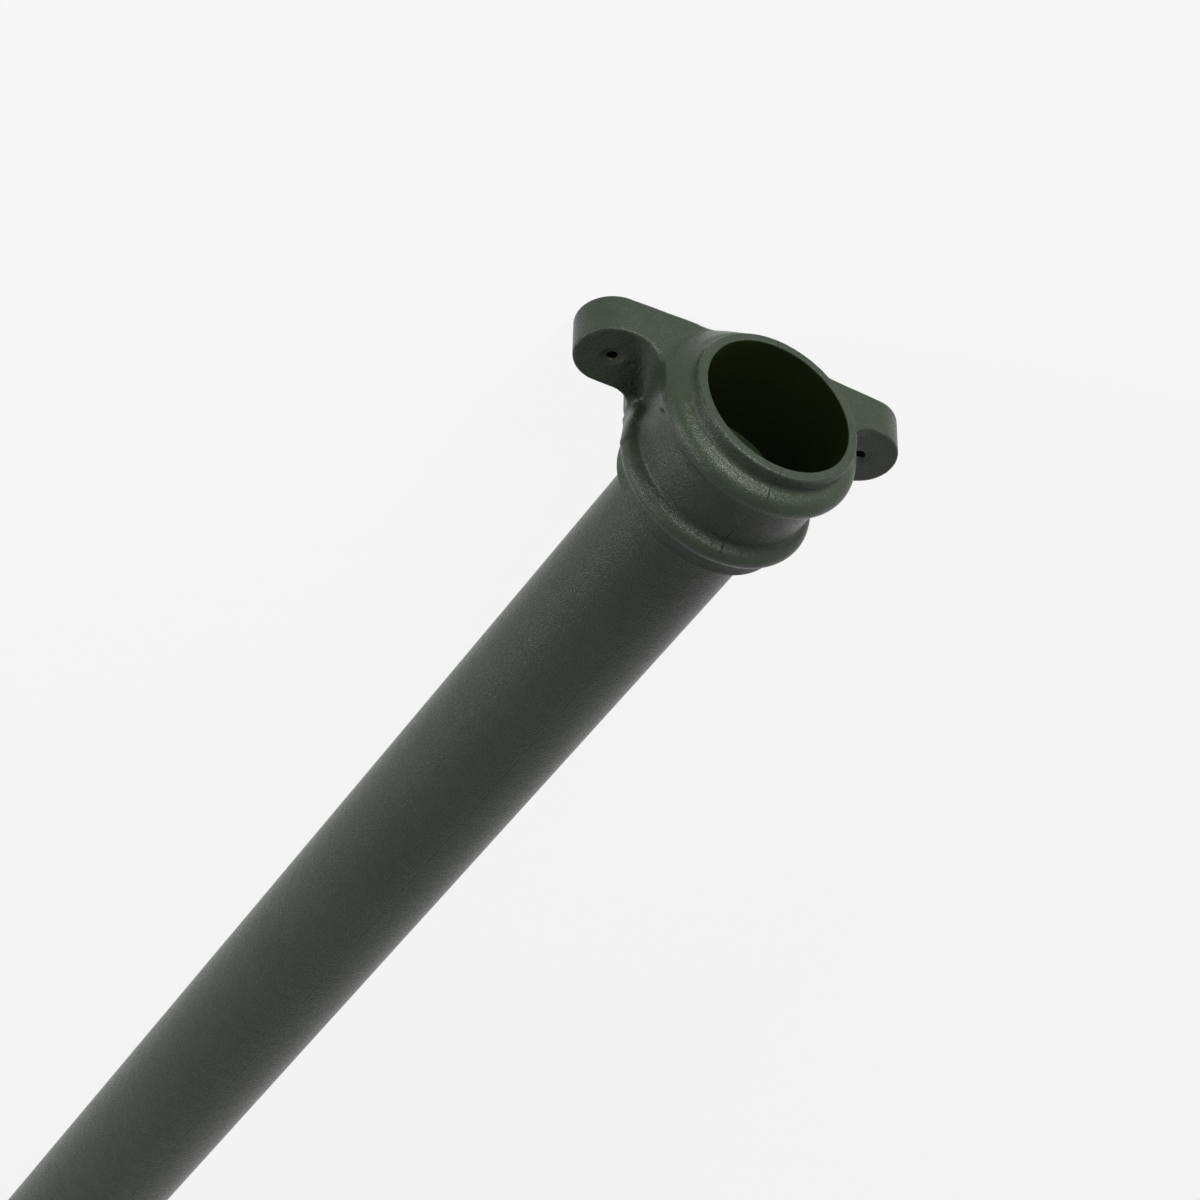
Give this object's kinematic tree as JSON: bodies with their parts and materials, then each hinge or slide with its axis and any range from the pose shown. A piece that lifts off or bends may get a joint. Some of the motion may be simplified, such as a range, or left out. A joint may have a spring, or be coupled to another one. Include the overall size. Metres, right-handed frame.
{
  "type": "cast iron downpipe",
  "caption": "Round cast iron rainwater downpipe with a beaded socket at one end, a plain spigot at the other, and a fixing ear on each side of the socket.",
  "frame": {"origin": "centre of the socket's mouth, on the pipe's axis", "axes": "+Y runs along the pipe and out of the socket's mouth, +X runs across the two ears, +Z points away from the wall side, so the pipe lies on the backs of its ears"},
  "size_m": [0.1944, 1.894, 0.1152],
  "materials": {
    "painted_iron": "dark green-grey primer on as-cast iron, fine grained and slightly satin"
  },
  "bodies": {
    "root": {"downpipe": "painted_iron"}
  },
  "joints": []
}
